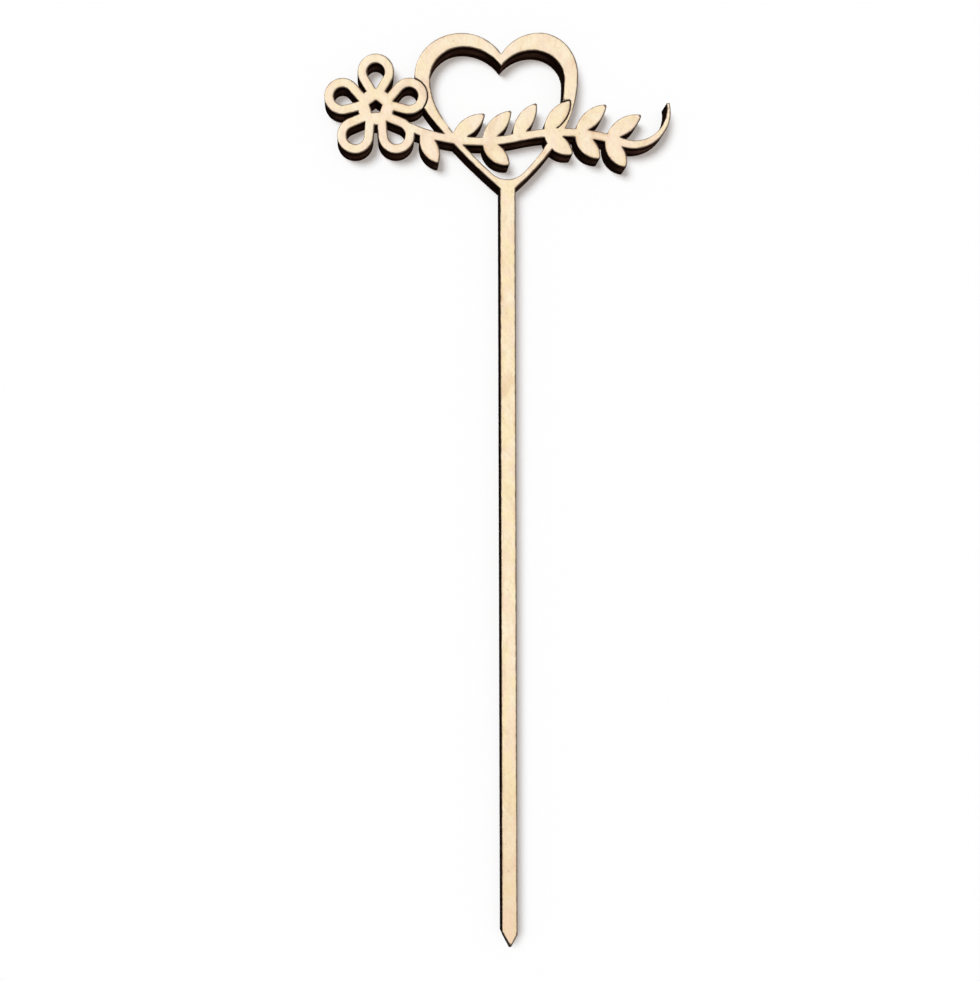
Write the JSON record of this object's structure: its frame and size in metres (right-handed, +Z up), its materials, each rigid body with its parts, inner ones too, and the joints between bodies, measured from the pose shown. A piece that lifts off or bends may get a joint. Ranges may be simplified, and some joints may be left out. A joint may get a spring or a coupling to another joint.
{
  "type": "cake topper",
  "caption": "Flat laser-cut plywood topper: a heart band on a long pointed stake, crossed by an outlined blossom and a leafy spray, pushed into a cake or bouquet.",
  "frame": {"origin": "tip of the stake, in the middle of the sheet's thickness", "axes": "+Z up the stake to the heart, -Y out of the front face, +X to the right seen from the front"},
  "size_m": [0.1136, 0.004, 0.3],
  "materials": {
    "birch_face": "sanded, unvarnished",
    "birch_core": "charred at its cut edge",
    "birch_back": "sanded, unvarnished",
    "glue": "cured resin glue, charred at its cut edge"
  },
  "bodies": {
    "root": {"front_veneer": "birch_face", "front_glue_line": "glue", "core_veneer": "birch_core", "rear_glue_line": "glue", "rear_veneer": "birch_back"}
  },
  "joints": []
}
